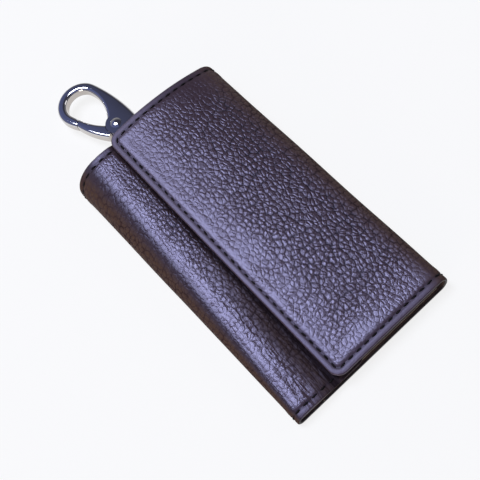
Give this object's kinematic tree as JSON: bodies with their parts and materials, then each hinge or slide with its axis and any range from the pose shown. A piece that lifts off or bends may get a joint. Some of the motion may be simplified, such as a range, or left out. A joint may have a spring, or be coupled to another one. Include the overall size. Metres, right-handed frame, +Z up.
{
  "type": "key case",
  "caption": "Folded leather key case, closed: a lined back, wing and flap round a bar of swinging key hooks, with a sprung trigger clasp on a short strap at its thick end.",
  "frame": {"origin": "middle of the back's outer face, on the surface that the closed case lies on", "axes": "+X towards the fold that the flap turns on, +Y along the case towards its thick end and the clasp, +Z up from the back through the hooks to the flap"},
  "size_m": [0.063, 0.1482, 0.0196],
  "materials": {
    "leather": "pebbled, semi-gloss",
    "lining": "smooth, matt",
    "board": "stiffening board",
    "strap": "smooth, semi-gloss",
    "nickel": "nickel plate",
    "chrome": "polished",
    "spring_steel": "spring steel"
  },
  "bodies": {
    "back": {"back_leather": "leather", "back_board": "board", "back_lining": "lining", "hook_plate": "nickel", "hook_rod": "nickel", "plate_rivets": "nickel", "strap_rivet": "nickel"},
    "right_spine": {"right_spine_leather": "leather", "right_spine_lining": "lining"},
    "flap": {"flap_leather": "leather", "flap_lining": "lining", "snap_sockets": "nickel", "snap_caps": "nickel"},
    "left_spine": {"left_spine_leather": "leather", "left_spine_lining": "lining"},
    "wing": {"wing_leather": "leather", "wing_lining": "lining", "snap_studs": "nickel", "snap_stud_backs": "nickel"},
    "strap": {"clasp_strap": "strap"},
    "clasp_eye": {"clasp_eye": "chrome"},
    "clasp": {"clasp_body": "chrome", "trigger_pin": "chrome", "trigger_spring": "spring_steel"},
    "trigger": {"clasp_trigger": "chrome"},
    "key_hook_1": {"key_hook_1": "nickel"},
    "hook_gate_1": {"hook_gate_1": "spring_steel"},
    "key_hook_2": {"key_hook_2": "nickel"},
    "hook_gate_2": {"hook_gate_2": "spring_steel"},
    "key_hook_3": {"key_hook_3": "nickel"},
    "hook_gate_3": {"hook_gate_3": "spring_steel"},
    "key_hook_4": {"key_hook_4": "nickel"},
    "hook_gate_4": {"hook_gate_4": "spring_steel"},
    "key_hook_5": {"key_hook_5": "nickel"},
    "hook_gate_5": {"hook_gate_5": "spring_steel"},
    "key_hook_6": {"key_hook_6": "nickel"},
    "hook_gate_6": {"hook_gate_6": "spring_steel"}
  },
  "joints": [
    {"name": "flap_lower_fold", "type": "hinge", "parent": "back", "child": "right_spine", "pos_m": [0.03008, 0, 0.00117], "axis": [-0.0097, 0.9999, 0.0052], "range_deg": [0, 86]},
    {"name": "flap_upper_fold", "type": "hinge", "parent": "right_spine", "child": "flap", "pos_m": [0.02993, 0, 0.00913], "axis": [-0.0123, 0.998, 0.0626], "range_deg": [0, 86]},
    {"name": "wing_lower_fold", "type": "hinge", "parent": "back", "child": "left_spine", "pos_m": [-0.03037, 0, 0.00088], "axis": [-0.0097, -0.9999, -0.0052], "range_deg": [0, 86]},
    {"name": "wing_upper_fold", "type": "hinge", "parent": "left_spine", "child": "wing", "pos_m": [-0.02942, 0, 0.00832], "axis": [-0.0266, -0.9963, -0.0819], "range_deg": [0, 86]},
    {"name": "hook_swing_1", "type": "hinge", "parent": "back", "child": "key_hook_1", "pos_m": [-0.01825, 0.031, 0.0039], "axis": [-1, 0, 0], "range_deg": [0, 10]},
    {"name": "gate_bend_1", "type": "hinge", "parent": "key_hook_1", "child": "hook_gate_1", "pos_m": [-0.01672, 0.0231, 0.0039], "axis": [0, 0, -1], "range_deg": [0, 15], "stiffness_Nm_per_rad": 0.004},
    {"name": "hook_swing_2", "type": "hinge", "parent": "back", "child": "key_hook_2", "pos_m": [-0.01095, 0.031, 0.0039], "axis": [-1, 0, 0], "range_deg": [0, 10]},
    {"name": "gate_bend_2", "type": "hinge", "parent": "key_hook_2", "child": "hook_gate_2", "pos_m": [-0.00942, 0.0231, 0.0039], "axis": [0, 0, -1], "range_deg": [0, 15], "stiffness_Nm_per_rad": 0.004},
    {"name": "hook_swing_3", "type": "hinge", "parent": "back", "child": "key_hook_3", "pos_m": [-0.00365, 0.031, 0.0039], "axis": [-1, 0, 0], "range_deg": [0, 10]},
    {"name": "gate_bend_3", "type": "hinge", "parent": "key_hook_3", "child": "hook_gate_3", "pos_m": [-0.00212, 0.0231, 0.0039], "axis": [0, 0, -1], "range_deg": [0, 15], "stiffness_Nm_per_rad": 0.004},
    {"name": "hook_swing_4", "type": "hinge", "parent": "back", "child": "key_hook_4", "pos_m": [0.00365, 0.031, 0.0039], "axis": [-1, 0, 0], "range_deg": [0, 10]},
    {"name": "gate_bend_4", "type": "hinge", "parent": "key_hook_4", "child": "hook_gate_4", "pos_m": [0.00518, 0.0231, 0.0039], "axis": [0, 0, -1], "range_deg": [0, 15], "stiffness_Nm_per_rad": 0.004},
    {"name": "hook_swing_5", "type": "hinge", "parent": "back", "child": "key_hook_5", "pos_m": [0.01095, 0.031, 0.0039], "axis": [-1, 0, 0], "range_deg": [0, 10]},
    {"name": "gate_bend_5", "type": "hinge", "parent": "key_hook_5", "child": "hook_gate_5", "pos_m": [0.01248, 0.0231, 0.0039], "axis": [0, 0, -1], "range_deg": [0, 15], "stiffness_Nm_per_rad": 0.004},
    {"name": "hook_swing_6", "type": "hinge", "parent": "back", "child": "key_hook_6", "pos_m": [0.01825, 0.031, 0.0039], "axis": [-1, 0, 0], "range_deg": [0, 10]},
    {"name": "gate_bend_6", "type": "hinge", "parent": "key_hook_6", "child": "hook_gate_6", "pos_m": [0.01978, 0.0231, 0.0039], "axis": [0, 0, -1], "range_deg": [0, 15], "stiffness_Nm_per_rad": 0.004},
    {"name": "strap_turn", "type": "hinge", "parent": "back", "child": "strap", "pos_m": [0.0033, 0.0385, 0.006], "axis": [0, 0, 1], "range_deg": [-32, 10]},
    {"name": "clasp_tilt", "type": "hinge", "parent": "strap", "child": "clasp_eye", "pos_m": [0, 0.05, 0.006], "axis": [0.9613, 0.2756, 0], "range_deg": [-5, 20]},
    {"name": "clasp_swivel", "type": "hinge", "parent": "clasp_eye", "child": "clasp", "pos_m": [0, 0.05, 0.006], "axis": [-0.2756, 0.9613, 0], "range_deg": [-180, 180]},
    {"name": "trigger_press", "type": "hinge", "parent": "clasp", "child": "trigger", "pos_m": [-0.00559, 0.0666, 0.006], "axis": [0, 0, -1], "range_deg": [0, 18], "stiffness_Nm_per_rad": 0.02}
  ],
  "couplings": [
    {"joint": "flap_upper_fold", "follows": "flap_lower_fold", "ratio": 1},
    {"joint": "wing_lower_fold", "follows": "flap_lower_fold", "ratio": 1},
    {"joint": "wing_upper_fold", "follows": "flap_lower_fold", "ratio": 1}
  ]
}
